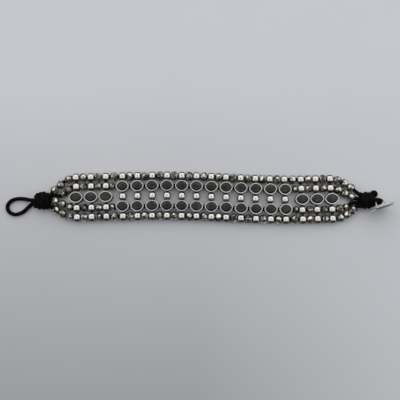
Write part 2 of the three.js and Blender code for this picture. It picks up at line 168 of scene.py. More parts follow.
# Route of the right knot's bight over the shank's wire, down through its eye and back: out from
# the knot's near face, aside from its middle, and height
BIGHT = [
    (4.0, 0.0, 5.5),
    (6.2, 0.1, 7.6),
    (8.0, 0.1, 7.95),
    (9.6, -0.1, 7.65),
    (10.4, -0.9, 6.2),
    (9.5, -1.6, 4.8),
    (8.0, -1.75, 4.3),
    (6.2, -2.2, 3.2),
    (4.0, -2.2, 2.4),
]


# Meshes
def unit(vector):
    return vector / np.linalg.norm(vector)


class Shell:
    """Points, faces, their soiling and painted shade, and their place along a cord, gathered for
    one mesh.
    """

    def __init__(self):
        self.points = []
        self.faces = []
        self.grime_and_shade = []
        self.along = []
        self.count = 0

    def add(self, points, faces, grime_and_shade=0.0, along=0.0):
        points = np.asarray(points, float).reshape(-1, 3)
        self.points.append(points)
        self.grime_and_shade.append(np.broadcast_to(np.asarray(grime_and_shade, float), len(points)))
        self.along.append(np.broadcast_to(np.asarray(along, float), len(points)))
        self.faces.extend(tuple(i + self.count for i in face) for face in faces)
        self.count += len(points)

    def make(self, name, material, place=None):
        """The mesh as an object of the scene. place is a function that moves its points."""
        points = np.concatenate(self.points)
        if place is not None:
            points = place(points)
        mesh = bpy.data.meshes.new(name)
        mesh.from_pydata((points * MM).tolist(), [], self.faces)
        mesh.update()
        # This layer holds real soiling and painted shade alike.
        for label, values in (("grime_and_shade", self.grime_and_shade), ("along", self.along)):
            layer = mesh.attributes.new(label, "FLOAT", "POINT")
            layer.data.foreach_set("value", np.concatenate(values).astype(np.float32))
        mesh.shade_smooth()
        mesh.materials.append(material)
        piece = bpy.data.objects.new(name, mesh)
        bpy.context.scene.collection.objects.link(piece)
        return piece


def grid(rows, columns):
    """Faces of a stack of closed rings."""
    faces = []
    for i in range(rows - 1):
        for j in range(columns):
            a = i * columns + j
            b = i * columns + (j + 1) % columns
            faces.append((a, a + columns, b + columns, b))
    return faces


def caps(rows, columns):
    """Faces that close both ends of a stack of rings."""
    first = tuple(range(columns))
    last = tuple(range((rows - 1) * columns, rows * columns))
    return [first, last[::-1]]


def flipped(faces):
    return [face[::-1] for face in faces]


def revolved(profile, sides, middle=(0, 0, 0)):
    """Rings of (radius, along) round the Y axis, closed at both ends."""
    turn = np.arange(sides) * TAU / sides
    rings = []
    for radius, along in profile:
        ring = np.stack([radius * np.sin(turn), np.full(sides, along), radius * np.cos(turn)], 1)
        rings.append(ring)
    points = np.concatenate(rings) + np.asarray(middle, float)
    return points, grid(len(profile), sides) + caps(len(profile), sides)


OVAL_POINT = 1.36


def oval_ring(inset, height, sides, length):
    """A pointed oval, drawn in from the cup's outside."""
    turn = np.arange(sides) * TAU / sides
    x = (length / 2 - inset) * np.cos(turn)
    y = (CUP_WIDTH / 2 - inset) * np.sign(np.sin(turn)) * np.abs(np.sin(turn)) ** OVAL_POINT
    return np.stack([x, y, np.full(sides, height)], 1)


def ovals(profile, sides, middle, length):
    """Rings of (inset, height), each a pointed oval, closed at both ends."""
    points = np.concatenate([oval_ring(inset, height, sides, length) for inset, height in profile])
    faces = flipped(grid(len(profile), sides) + caps(len(profile), sides))
    return points + np.asarray(middle, float), faces


def smooth_path(points, step):
    """A Catmull-Rom curve through the points, with a place about every step."""
    points = np.asarray(points, float)
    padded = np.concatenate([[2 * points[0] - points[1]], points, [2 * points[-1] - points[-2]]])
    places = []
    for a, b, c, d in zip(padded, padded[1:], padded[2:], padded[3:]):
        count = max(2, int(round(np.linalg.norm(c - b) / step)))
        t = (np.arange(count) / count)[:, None]
        twice = (
            2 * b
            + (c - a) * t
            + (2 * a - 5 * b + 4 * c - d) * t**2
            + (3 * b - a - 3 * c + d) * t**3
        )
        places.append(0.5 * twice)
    places.append(points[-1:])
    return np.concatenate(places)


def arc_lengths(path):
    return np.concatenate([[0], np.cumsum(np.linalg.norm(np.diff(path, axis=0), axis=1))])


# Ribs of a cord: their pitch and depth, how far they wander along it and how soon, and the length
# in which they lean round it. Its thickness swells by a small share, again and again.
RIB_PITCH = 0.62
RIB_DEPTH = 0.018
RIB_WANDER = 0.8
WANDER_RATE = 1.3
RIB_TWIST_LENGTH = 3
SWELL_SHARE = 0.012
SWELL_RATE = 0.9
NEARLY_UP = [0.03, 0.02, 1.0]


def cord(shell, path, radius, sides, closed=False, grime_and_shade=0.0, ribs=0.0):
    """A round cord along a path, a little uneven, with ribs of the depth asked for."""
    path = np.asarray(path, float)
    lengths = arc_lengths(path)
    if closed:
        ahead = np.roll(path, -1, 0) - np.roll(path, 1, 0)
    else:
        ahead = np.gradient(path, axis=0)
    ahead = ahead / np.linalg.norm(ahead, axis=1)[:, None]
    side = unit(np.cross(ahead[0], NEARLY_UP))
    turn = np.arange(sides) * TAU / sides
    drift = rng.uniform(0, TAU)
    rings = []
    for middle, tangent, place in zip(path, ahead, lengths):
        side = unit(side - tangent * np.dot(side, tangent))
        other = np.cross(tangent, side)
        wander = RIB_WANDER * np.sin(place * WANDER_RATE + drift)
        twist = np.sin(turn + place / RIB_TWIST_LENGTH)
        wave = np.sin(TAU * place / RIB_PITCH + wander + twist)
        swell = 1 + SWELL_SHARE * math.sin(place * SWELL_RATE + drift)
        r = radius * swell + ribs * wave
        rings.append(middle + np.outer(r * np.cos(turn), side) + np.outer(r * np.sin(turn), other))
    rows = len(path)
    faces = flipped(grid(rows, sides))
    if closed:
        for j in range(sides):
            a = (rows - 1) * sides + j
            b = (rows - 1) * sides + (j + 1) % sides
            faces.append((a, b, (j + 1) % sides, j))
    else:
        faces += flipped(caps(rows, sides))
    shell.add(np.concatenate(rings), faces, grime_and_shade, np.repeat(lengths, sides))


# Materials
RANGE_SOCKETS = ("From Min", "From Max", "To Min", "To Max")


class Nodes:
    """Short words for a material's nodes."""

    def __init__(self, name):
        self.material = bpy.data.materials.new(name)
        self.material.use_nodes = True
        self.tree = self.material.node_tree
        self.shader = self.tree.nodes["Principled BSDF"]
        self.place = self.tree.nodes.new("ShaderNodeTexCoord").outputs["Object"]

    def link(self, source, target):
        self.tree.links.new(source, target)

    def axis(self, name):
        node = self.tree.nodes.new("ShaderNodeSeparateXYZ")
        self.link(self.place, node.inputs["Vector"])
        return node.outputs[name]

    def attribute(self, name):
        node = self.tree.nodes.new("ShaderNodeAttribute")
        node.attribute_name = name
        return node.outputs["Fac"]

    def noise(self, scale, detail=4.0, rough=0.55, stretch=None):
        node = self.tree.nodes.new("ShaderNodeTexNoise")
        node.inputs["Scale"].default_value = scale
        node.inputs["Detail"].default_value = detail
        node.inputs["Roughness"].default_value = rough
        place = self.place
        if stretch:
            mapping = self.tree.nodes.new("ShaderNodeMapping")
            mapping.inputs["Scale"].default_value = stretch
            self.link(place, mapping.inputs["Vector"])
            place = mapping.outputs["Vector"]
        self.link(place, node.inputs["Vector"])
        return node.outputs["Fac"]

    def cells(self, scale):
        node = self.tree.nodes.new("ShaderNodeTexVoronoi")
        node.inputs["Scale"].default_value = scale
        self.link(self.place, node.inputs["Vector"])
        return node.outputs["Distance"]

    def math(self, kind, first, second=0.5):
        node = self.tree.nodes.new("ShaderNodeMath")
        node.operation = kind
        for socket, value in zip(node.inputs, (first, second)):
            if isinstance(value, (int, float)):
                socket.default_value = value
            else:
                self.link(value, socket)
        return node.outputs["Value"]

    def ranged(self, source, *limits):
        """The source, taken from one range to another: low, high, to low and to high."""
        node = self.tree.nodes.new("ShaderNodeMapRange")
        node.clamp = True
        for name, value in zip(RANGE_SOCKETS, limits):
            node.inputs[name].default_value = value
        self.link(source, node.inputs["Value"])
        return node.outputs["Result"]

    def ramp(self, source, stops):
        node = self.tree.nodes.new("ShaderNodeValToRGB")
        ramp = node.color_ramp
        while len(ramp.elements) < len(stops):
            ramp.elements.new(0.5)
        for element, (at, colour) in zip(ramp.elements, stops):
            element.position = at
            element.color = (*colour, 1.0)
        self.link(source, node.inputs["Fac"])
        return node.outputs["Color"]

    def mix(self, share, first, second, blend="MIX"):
        node = self.tree.nodes.new("ShaderNodeMix")
        node.data_type = "RGBA"
        node.blend_type = blend
        if isinstance(share, (int, float)):
            node.inputs[0].default_value = share
        else:
            self.link(share, node.inputs[0])
        for socket, value in ((node.inputs[6], first), (node.inputs[7], second)):
            if isinstance(value, tuple):
                socket.default_value = (*value, 1.0)
            else:
                self.link(value, socket)
        return node.outputs[2]

    def bump(self, height, distance, strength=1.0, under=None):
        node = self.tree.nodes.new("ShaderNodeBump")
        node.inputs["Distance"].default_value = distance
        node.inputs["Strength"].default_value = strength
        self.link(height, node.inputs["Height"])
        if under is not None:
            self.link(under, node.inputs["Normal"])
        return node.outputs["Normal"]

    def finish(self, colour, roughness, normal, **fixed):
        for name, value in fixed.items():
            self.shader.inputs[name.replace("_", " ")].default_value = value
        for name, source in (("Base Color", colour), ("Roughness", roughness), ("Normal", normal)):
            if source is not None:
                self.link(source, self.shader.inputs[name])
        return self.material


# Tarnish colours. Where the meshes ask for painted shade, the same colours paint it.
TARNISH_AND_SHADE = (0.15, 0.145, 0.125)
DEEP_TARNISH_AND_SHADE = (0.03, 0.029, 0.026)
GREENISH = (0.80, 0.86, 0.76)
REDDISH = (0.95, 0.84, 0.82)
DULLEST = 0.62


def silver(name, polish, tint, wear, patina, dents=0.00006):
    """Worn silver: bright where it is rubbed, brown and dull where it is soiled and where the
    meshes paint in shade. polish is its roughness where it is clean, wear is the soiling on open
    places, patina how much its tint changes, and dents their depth."""
    n = Nodes(name)
    grime_and_shade = n.attribute("grime_and_shade")
    broad = n.noise(260.0, 3.0)
    fine = n.noise(1700.0, 5.0, 0.65)
    # The mesh attribute brings soiling and painted shade; the noise adds soiling on open places.
    dirt_and_shade = n.math("ADD", grime_and_shade, n.ranged(broad, 0.42, 0.72, -0.05, wear))
    dirt_and_shade = n.math("ADD", dirt_and_shade, n.ranged(fine, 0.5, 0.8, 0.0, wear))
    worn_tint = tuple(c * 0.8 for c in tint)
    metal = n.ramp(dirt_and_shade, [(0.0, tint), (0.35, worn_tint), (0.7, TARNISH_AND_SHADE), (1.0, DEEP_TARNISH_AND_SHADE)])
    tints = n.ramp(n.noise(230.0, 2.0), [(0.38, GREENISH), (0.62, REDDISH)])
    colour = n.mix(patina, metal, tints, "MULTIPLY")
    dull = n.ranged(dirt_and_shade, 0.0, 1.0, polish, DULLEST)
    uneven = n.ranged(fine, 0.3, 0.7, -0.03, 0.06)
    roughness = n.math("ADD", dull, uneven)
    normal = n.bump(n.noise(700.0, 3.0), dents, 0.6)
    scratches = n.noise(2600.0, 2.0, 0.5, (1.0, 0.25, 1.0))
    normal = n.bump(scratches, 0.00001, 0.6, normal)
    return n.finish(colour, roughness, normal, Metallic=1.0)


def black_stone():
    """Polished black stone with faint brown clouds."""
    n = Nodes("polished_black_stone")
    clouds = [
        (0.36, (0.004, 0.004, 0.005)),
        (0.54, (0.018, 0.017, 0.016)),
        (0.70, (0.060, 0.052, 0.044)),
    ]
    colour = n.ramp(n.noise(330.0, 5.0), clouds)
    roughness = n.ranged(n.noise(900.0, 4.0), 0.3, 0.7, 0.16, 0.34)
    normal = n.bump(n.noise(1500.0, 3.0), 0.00001, 0.5)
    return n.finish(colour, roughness, normal, Specular_IOR_Level=0.4)


def black_leather(name):
    """Waxed black leather with pores, grain and faint waves at the pitch of its ribs."""
    n = Nodes(name)
    pores = n.cells(1500.0)
    grain = n.noise(2200.0, 5.0, 0.6)
    dye = [(0.3, (0.0025, 0.002, 0.002)), (0.7, (0.007, 0.006, 0.006))]
    colour = n.ramp(n.noise(300.0, 4.0), dye)
    rubbed = n.ranged(grain, 0.55, 0.75, 0.0, 0.5)
    colour = n.mix(rubbed, colour, (0.014, 0.012, 0.012))
    roughness = n.ranged(grain, 0.3, 0.7, 0.42, 0.68)
    waves = n.math("SINE", n.math("MULTIPLY", n.attribute("along"), TAU / RIB_PITCH))
    patches = n.ranged(n.noise(500.0, 2.0), 0.4, 0.6, 0.1, 1.0)
    waves = n.math("MULTIPLY", waves, patches)
    normal = n.bump(waves, 0.00003, 0.5)
    normal = n.bump(pores, 0.00003, 0.5, normal)
    normal = n.bump(grain, 0.00004, 0.6, normal)
    return n.finish(colour, roughness, normal, Specular_IOR_Level=0.05)


def floor_with_painted_falloff():
    """A matt sheet with a painted falloff of light: darker towards the near left."""
    n = Nodes("floor_with_painted_falloff")
    paper = n.ramp(n.noise(9.0, 3.0), [(0.3, (0.80, 0.815, 0.85)), (0.7, (0.83, 0.84, 0.875))])
    # Painted shade: the colour falls off towards the near side, most on the left.
    near = n.ranged(n.axis("Y"), 0.06, -0.105, 0.0, 0.40)
    left = n.ranged(n.axis("X"), 0.0, 0.11, 1.0, 0.35)
    light = n.math("SUBTRACT", 1.0, n.math("MULTIPLY", near, left))
    colour = n.mix(1.0, paper, light, "MULTIPLY")
    normal = n.bump(n.noise(900.0, 3.0), 0.00005, 0.3)
    return n.finish(colour, None, normal, Roughness=0.85)


BAR_SILVER = silver("bar_silver", 0.13, (0.735, 0.715, 0.69), 0.06, 0.2)
BEAD_SILVER = silver("hammered_silver", 0.13, (0.78, 0.75, 0.70), 0.28, 0.4, 0.0003)
BUTTON_SILVER = silver("button_silver", 0.22, (0.72, 0.72, 0.71), 0.30, 0.3)
STONE = black_stone()
STRAND_LEATHER = black_leather("strand_leather")
KNOT_LEATHER = black_leather("knot_leather")


class Bar:
    """Where one spacer bar stands and how it leans, read from its own solid."""

    def __init__(self, number):
        self.name = f"spacer_bar_{number:02d}"
        self.kind = "end" if number <= END_BARS or number > BARS - END_BARS else "middle"
        low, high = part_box(self.name)
        self.middle = np.array([(low.x + high.x) / 2, (low.y + high.y) / 2, 0.0]) / MM
        points = np.array([v.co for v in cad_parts[self.name].data.vertices]) / MM
        far_end = points[:, 1] > self.middle[1] + END_OUTER - 1
        far = points[far_end].mean(0) - self.middle
        self.lean = math.atan2(-far[0], far[1])

    def place(self, points):
        """Points of the bar's own frame, put where the bar stands."""
        points = np.asarray(points, float)
        c, s = math.cos(self.lean), math.sin(self.lean)
        turned = np.array([[c, s, 0.0], [-s, c, 0.0], [0.0, 0.0, 1.0]])
        return points @ turned + self.middle

    def bore(self, row):
        """The middle of the hole for the leather in one row."""
        return self.place([0.0, LAYOUT[self.kind][row][0], STRAND_HEIGHT])


bars = [Bar(number) for number in range(1, BARS + 1)]


# Spacer bars: crowned barrels, bezel cups and the necks between them
BARREL_ROUNDNESS = 2.8
BARREL_SQUARENESS = 2.5
BARREL_STEPS = 25
BARREL_SIDES = 40
BARREL_END_TURN = 0.47 * math.pi
NECK_RADIUS = 0.68
NECK_SIDES = 18
NECK_OVERLAP = 0.25
OVAL_SIDES = 72
# Darkness of the necks, and of the cups below their rims: tarnish and painted shade
GROOVE_TARNISH_AND_SHADE = 0.9

# Darkening of a barrel: painted shade towards its ends, where it starts, how soon it is full and
# how strong it is there; dirt, the same, round a hole, which is only on the sides; and painted
# shade underneath
END_SHADE_START = 1.2
END_SHADE_SPAN = 0.5
END_SHADE = 0.95
HOLE_DIRT_RADIUS = 1.5
HOLE_DIRT_SPAN = 0.5
HOLE_DIRT = 0.8
HOLE_SIDE = 1.2
BELOW_SHADE_SPAN = 3.0
BELOW_SHADE = 0.5

# Tarnish and painted shade on a cup below its rim: how far below the rim they start, and how soon
# they are full
RIM_HEIGHT = 0.12
RIM_TARNISH_AND_SHADE_SPAN = 0.5

# A cup's outside, rim and hollow: inset from its outline, and height
CUP_PROFILE = [
    (1.2, CUP_BOTTOM),
    (0.25, CUP_BOTTOM),
    (0.06, CUP_BOTTOM + 0.10),
    (0.0, CUP_BOTTOM + 0.35),
    (0.03, 2.4),
    (0.0, CUP_TOP - 0.35),
    (0.0, CUP_TOP - 0.10),
    (0.02, CUP_TOP - 0.02),
    (0.07, CUP_TOP),
    (0.36, CUP_TOP),
    (0.42, CUP_TOP - 0.03),
    (0.45, CUP_TOP - 0.12),
    (0.46, CUP_TOP - 0.40),
    (0.46, CUP_FLOOR),
    (1.6, CUP_FLOOR),
]


def barrel_grime_and_shade(points, middle):
    """Painted shade at the ends and underneath, and soiling round the holes for the leather."""
    across, along, up = (points - middle).T
    # Painted shade: dark caps towards both ends of the barrel.
    ends = np.clip((np.abs(along) - END_SHADE_START) / END_SHADE_SPAN, 0, 1)
    hole = np.clip((HOLE_DIRT_RADIUS - np.hypot(along, up)) / HOLE_DIRT_SPAN, 0, 1)
    hole = hole * (np.abs(across) > HOLE_SIDE)
    # Painted shade underneath the barrel.
    below = np.clip(-up / BELOW_SHADE_SPAN, 0, BELOW_SHADE)
    return END_SHADE * ends + HOLE_DIRT * hole + below


def barrel_profile():
    """Radius and place along a barrel whose ends are rounded like a bead's."""
    power = 2 / BARREL_ROUNDNESS
    profile = []
    for turn in np.linspace(-BARREL_END_TURN, BARREL_END_TURN, BARREL_STEPS):
        radius = BARREL_RADIUS * math.cos(turn) ** power
        along = math.copysign(BARREL_LENGTH / 2 * abs(math.sin(turn)) ** power, turn)
        profile.append((radius, along))
    return profile


def squared(points, middle):
    """The same rings with a cross-section between a circle and a square."""
    offset = points - middle
    across, up = np.abs(offset[:, 0]), np.abs(offset[:, 2])
    flat = np.hypot(across, up)
    power = (across**BARREL_SQUARENESS + up**BARREL_SQUARENESS) ** (1 / BARREL_SQUARENESS)
    scale = (flat / power)[:, None]
    return middle + offset * np.concatenate([scale, np.ones_like(scale), scale], 1)


def add_barrel(shell, aside):
    middle = np.array([0.0, aside, STRAND_HEIGHT])
    points, faces = revolved(barrel_profile(), BARREL_SIDES, middle)
    points = squared(points, middle)
    shell.add(points, faces, barrel_grime_and_shade(points, middle))


def add_cup(shell, aside, length):
    """A bezel cup, bright at its rim, with tarnish and painted shade below it and inside."""
    points, faces = ovals(CUP_PROFILE, OVAL_SIDES, (0.0, aside, 0.0), length)
    low = np.clip((CUP_TOP - RIM_HEIGHT - points[:, 2]) / RIM_TARNISH_AND_SHADE_SPAN, 0, 1)
    shell.add(points, faces, GROOVE_TARNISH_AND_SHADE * low)


def add_neck(shell, start, stop):
    profile = [(NECK_RADIUS, stop), (NECK_RADIUS, start)]
    points, faces = revolved(profile, NECK_SIDES, (0.0, 0.0, STRAND_HEIGHT))
    # A neck is darkened all over: tarnish and painted shade between the barrels and cups.
    shell.add(points, flipped(faces), GROOVE_TARNISH_AND_SHADE)


def bar_shell(kind):
    shell = Shell()
    rows = LAYOUT[kind]
    for aside, form in rows:
        if form == "barrel":
            add_barrel(shell, aside)
        else:
            add_cup(shell, aside, CUP_LENGTHS[kind])
    reach = {"cup": CUP_WIDTH / 2, "barrel": BARREL_LENGTH / 2}
    for (first, form), (second, next_form) in zip(rows, rows[1:]):
        start = first - reach[form] + NECK_OVERLAP
        stop = second + reach[next_form] - NECK_OVERLAP
        add_neck(shell, start, stop)
    return shell


for bar in bars:
    piece = bar_shell(bar.kind).make(f"{bar.name}_polished", BAR_SILVER, bar.place)
    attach(piece, "root")
    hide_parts(bar.name)


# Stones: flat tables with a soft bevel, sunk in their cups. Inset from the cup's outline, height.
STONE_PROFILE = [
    (1.2, CUP_FLOOR + 0.05),
    (0.50, CUP_FLOOR + 0.08),
    (0.48, CUP_FLOOR + 0.50),
    (0.54, CUP_FLOOR + 0.64),
    (0.70, CUP_FLOOR + 0.79),
    (0.95, CUP_FLOOR + 0.91),
    (1.30, CUP_FLOOR + 1.00),
    (1.75, CUP_FLOOR + 1.05),
    (2.25, CUP_FLOOR + 1.08),
    (2.80, CUP_FLOOR + 1.09),
]

for number, bar in enumerate(bars, 1):
    for row, (aside, form) in enumerate(LAYOUT[bar.kind], 1):
        if form != "cup":
            continue
        shell = Shell()
        shell.add(*ovals(STONE_PROFILE, OVAL_SIDES, (0.0, aside, 0.0), CUP_LENGTHS[bar.kind]))
        node = f"stone_{number:02d}_row_{row}"
        piece = shell.make(f"{node}_polished", STONE, bar.place)
        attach(piece, "root")
        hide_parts(node)


# Strands: leather with hammered beads
BAND_FILL = 1.1
INTO_KNOT = 1.4
RISE_IN_KNOT = 0.2
CORD_STEP = 0.5
CORD_SIDES = 16


def bead_between(first, second, diameter):
    """A bead's middle, direction, length and diameter, from the places of its ends."""
    return (first + second) / 2, unit(second - first), np.linalg.norm(second - first), diameter


def fan(side, order):
    """The places of one strand from the last bar into a knot, and the beads on the way."""
    outward = -1 if side == "left" else 1
    bar = bars[0] if side == "left" else bars[-1]
    row = STRAND_ROWS[order]
    inward = -1 if LAYOUT[bar.kind][row][0] > 0 else 1
    steps, ends = FANS[side][order]
    at = bar.bore(row) + np.array([outward * (BARREL_REACH + FIT), 0.0, 0.0])
    places = [at]
    beads = []
    for kind, heading, *height_at_end in steps:
        length, diameter = FAN_BEADS.get(kind, (kind, None))
        height = height_at_end[0] if height_at_end else STRAND_HEIGHT
        turn = math.radians(heading)
        drop = height - at[2]
        run = math.sqrt(length * length - drop * drop)
        step = np.array([outward * run * math.cos(turn), inward * run * math.sin(turn), drop])
        if diameter:
            beads.append(bead_between(at, at + step, diameter))
        at = at + step
        places.append(at)
    for before, aside, height in ends:
        x = bar.middle[0] + outward * (KNOT_OUT[side] - FIT - before)
        places.append(np.array([x, bar.middle[1] + aside, height]))
    places.append(places[-1] + np.array([outward * INTO_KNOT, 0.0, RISE_IN_KNOT]))
    return places, beads


def band_beads(row):
    """The beads of one row between the bars. Rows 2 and 4 have them only near the ends."""
    outer = row in (STRAND_ROWS[0], STRAND_ROWS[-1])
    thin = BARREL_REACH + FIT + THIN_LENGTH / 2
    beads = []
    for bar, following in zip(bars, bars[1:]):
        first, second = bar.bore(row), following.bore(row)
        span = np.linalg.norm(second - first)
        if outer:
            distance, length, diameter = span / 2, BEAD_LENGTH, OUTER_BEAD
        elif bar.kind == following.kind == "end":
            distance, length, diameter = span / 2, BEAD_LENGTH, INNER_BEAD
        elif bar.kind == "end":
            distance, length, diameter = thin, THIN_LENGTH, INNER_BEAD
        elif following.kind == "end":
            distance, length, diameter = span - thin, THIN_LENGTH, INNER_BEAD
        else:
            continue
        ahead = unit(second - first)
        place = first + ahead * distance
        reach = ahead * length * BAND_FILL / 2
        beads.append(bead_between(place - reach, place + reach, diameter))
    return beads


def strand_route(order):
    """The places of one strand from knot to knot, and all its beads."""
    row = STRAND_ROWS[order]
    left, left_beads = fan("left", order)
    right, right_beads = fan("right", order)
    middle = [bar.bore(row) for bar in bars]
    return [*reversed(left), *middle, *right], band_beads(row) + left_beads + right_beads


# Hammer marks: rings of flat marks round a bead, each a slope towards its end in degrees and a
# number of marks, and how far a mark strays from its slope, from its place and from its depth
MARK_RINGS = ((-63, 8), (-38, 12), (-12, 15), (13, 15), (38, 12), (62, 8))
SLOPE_STRAY = 7
PLACE_STRAY = 0.16
SHALLOWEST = 0.93
BEAD_ROUNDNESS = 1.62
LENGTH_GAIN = 1.02
RADIUS_GAIN = 1.01
BEAD_ROWS = 36
BEAD_COLUMNS = 56
BEAD_HOLE_TURN = 0.16
EDGE_SHARPNESS = 40.0
LEAST_FACING = 1e-3

# Dirt on a bead: the share of marks that are clean, and how dirty the others are; then painted
# shade towards its ends, how strong it is and where it starts as a share of half the length
CLEAN_SHARE = 0.38
LEAST_DIRT = 0.55
MARK_DIRT = 0.85
BEAD_END_SHADE = 0.45
BEAD_END_SHADE_START = 0.75

# The outer beads rest on a flat that is this far above the floor
LOWEST = 0.01


def hammer_marks(length, diameter):
    """Directions and depths of the planes that cut a bead, those of its two ends first."""
    normals = [np.array([1.0, 0.0, 0.0]), np.array([-1.0, 0.0, 0.0])]
    depths = [length / 2, length / 2]
    half = length / 2 * LENGTH_GAIN
    radius = diameter / 2 * RADIUS_GAIN
    for slope, count in MARK_RINGS:
        start = rng.uniform(0, TAU)
        for k in range(count):
            a = math.radians(slope + rng.uniform(-SLOPE_STRAY, SLOPE_STRAY))
            b = start + (k + rng.uniform(-PLACE_STRAY, PLACE_STRAY)) * TAU / count
            normals.append(
                np.array([math.sin(a), math.cos(a) * math.cos(b), math.cos(a) * math.sin(b)])
            )
            across = abs(radius * math.cos(a))
            ahead = abs(half * math.sin(a))
            reach = (across**BEAD_ROUNDNESS + ahead**BEAD_ROUNDNESS) ** (1 / BEAD_ROUNDNESS)
            depths.append(reach * rng.uniform(SHALLOWEST, 1.0))
    return np.array(normals), np.array(depths)


def bead_rays():
    """Directions from a bead's middle to its points, ring by ring from end to end."""
    lean = np.linspace(BEAD_HOLE_TURN, math.pi - BEAD_HOLE_TURN, BEAD_ROWS)
    turn = np.arange(BEAD_COLUMNS) * TAU / BEAD_COLUMNS
    lean, turn = (angles.ravel() for angles in np.meshgrid(lean, turn, indexing="ij"))
    return np.stack([np.cos(lean), np.sin(lean) * np.cos(turn), np.sin(lean) * np.sin(turn)], 1)


def hammered_bead(shell, middle, ahead, length, diameter):
    """A bead cut by flat hammer marks: the inside of a set of planes, with softened edges."""
    normals, depths = hammer_marks(length, diameter)
    rays = bead_rays()
    reach = depths / np.clip(rays @ normals.T, LEAST_FACING, None)
    nearest = reach.min(1)
    share = np.exp(-EDGE_SHARPNESS * (reach - nearest[:, None]))
    soft = nearest - np.log(share.sum(1)) / EDGE_SHARPNESS
    offset = rays * soft[:, None]
    clean = rng.uniform(0.0, 1.0, len(depths)) < CLEAN_SHARE
    dirt_and_shade = np.where(clean, 0.0, rng.uniform(LEAST_DIRT, 1.0, len(depths)))
    # The two end faces are darkest: painted shade where the bead meets its neighbours.
    dirt_and_shade[:2] = 1.0
    grime_and_shade = MARK_DIRT * (share @ dirt_and_shade) / share.sum(1)
    # Painted shade towards both ends of the bead.
    along = np.abs(offset[:, 0]) / (length / 2)
    grime_and_shade = grime_and_shade + BEAD_END_SHADE * np.clip((along - BEAD_END_SHADE_START) / (1 - BEAD_END_SHADE_START), 0, 1)
    side = unit(np.cross([0.0, 0.0, 1.0], ahead))
    up = np.cross(ahead, side)
    points = middle + offset @ np.stack([ahead, side, up])
    points[:, 2] = np.maximum(points[:, 2], LOWEST)
    shell.add(points, grid(BEAD_ROWS, BEAD_COLUMNS) + caps(BEAD_ROWS, BEAD_COLUMNS), grime_and_shade)


for order, row in enumerate(STRAND_ROWS):
    places, beads = strand_route(order)
    node = f"strand_row_{row + 1}"
    shell = Shell()
    cord(shell, smooth_path(places, CORD_STEP), LEATHER_RADIUS, CORD_SIDES)
    leather = shell.make(f"{node}_leather", STRAND_LEATHER)
    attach(leather, "root")
    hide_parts(node)
    shell = Shell()
    for middle, ahead, length, diameter in beads:
        hammered_bead(shell, middle, ahead, length, diameter)
    string = shell.make(f"{node}_beads", BEAD_SILVER)
    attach(string, "root")


# Knots: wound leather round a filled core
WRAP_SIDES = 14
WRAP_STEPS = 150
WRAP_STEP = 0.15

# A knot's core: how blunt it is, the share of its size at its tips, how deep it lies under the
# wraps as a share of the leather's radius, and where it starts and stops along both knots
CORE_SIDES = 28
CORE_RINGS = 15
CORE_POWER = 3
CORE_TIP = 0.05
CORE_SINK = 0.8
LEFT_CORE = (0.2, 7.8)
RIGHT_CORE = (0.2, 6.0)


class Knot:
    """A knot that starts at a place next to the band and runs outwards along X."""

    def __init__(self, place, outward, height):
        self.place = place
        self.outward = outward
        self.height = height
        self.shell = Shell()

    def wrap(self, middle, share, slant, radius, turnback):
        """One wrap of leather, with the columns of the tables of wraps."""
        turn = np.linspace(0, TAU, WRAP_STEPS, endpoint=False) - math.pi / 2
        wide = KNOT_WIDTH / 2 * share - radius
        tall = self.height / 2 * share - radius
        x = self.outward * (middle + slant * np.sin(turn) + turnback * np.cos(turn))
        path = np.stack([x, wide * np.cos(turn), self.height / 2 + tall * np.sin(turn)], 1)
        cord(self.shell, path + self.place, radius, WRAP_SIDES, closed=True, ribs=RIB_DEPTH)

    def core(self, start, stop):
        """The dark inside of the knot, under its wraps."""
        profile = []
        for t in np.linspace(-1, 1, CORE_RINGS):
            swell = math.sqrt(max(0.0, 1 - abs(t) ** CORE_POWER))
            profile.append((max(swell, CORE_TIP), (start + stop) / 2 + t * (stop - start) / 2))
        points, faces = revolved(profile, CORE_SIDES)
        wide = KNOT_WIDTH / 2 - LEATHER_RADIUS * CORE_SINK
        tall = self.height / 2 - LEATHER_RADIUS * CORE_SINK
        across, along, up = points.T
        placed = np.stack([self.outward * along, wide * across, self.height / 2 + tall * up], 1)
        if self.outward > 0:
            faces = flipped(faces)
        self.shell.add(placed + self.place, faces)

    def route(self, places):
        """A piece of leather through places of the knot's own frame: along, aside, height."""
        path = [self.place + np.array([self.outward * x, y, z]) for x, y, z in places]
        smooth = smooth_path(path, WRAP_STEP)
        cord(self.shell, smooth, LEATHER_RADIUS, WRAP_SIDES, ribs=RIB_DEPTH)


left_place = bars[0].middle + np.array([-KNOT_OUT["left"], LEFT_KNOT_ASIDE, 0.0])
left = Knot(left_place, -1, LEFT_KNOT_HEIGHT)
left.core(*LEFT_CORE)
for columns in LEFT_WRAPS:
    left.wrap(*columns)
left.route(LEFT_CROSSING)
left_knot = left.shell.make("knot_left_wound", KNOT_LEATHER)
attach(left_knot, "root")
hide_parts("knot_left")

LOOP_STEP = 0.12
LOOP_SIDES = 20

shell = Shell()
far = left_place + np.array([-LEFT_KNOT_LENGTH, 0.0, 0.0])
route = [far + np.array([-out, aside, height]) for out, aside, height in LOOP]
cord(shell, smooth_path(route, LOOP_STEP), LEATHER_RADIUS, LOOP_SIDES, ribs=RIB_DEPTH)
loop = shell.make("leather_loop_ribbed", KNOT_LEATHER)
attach(loop, "root")
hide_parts("leather_loop")


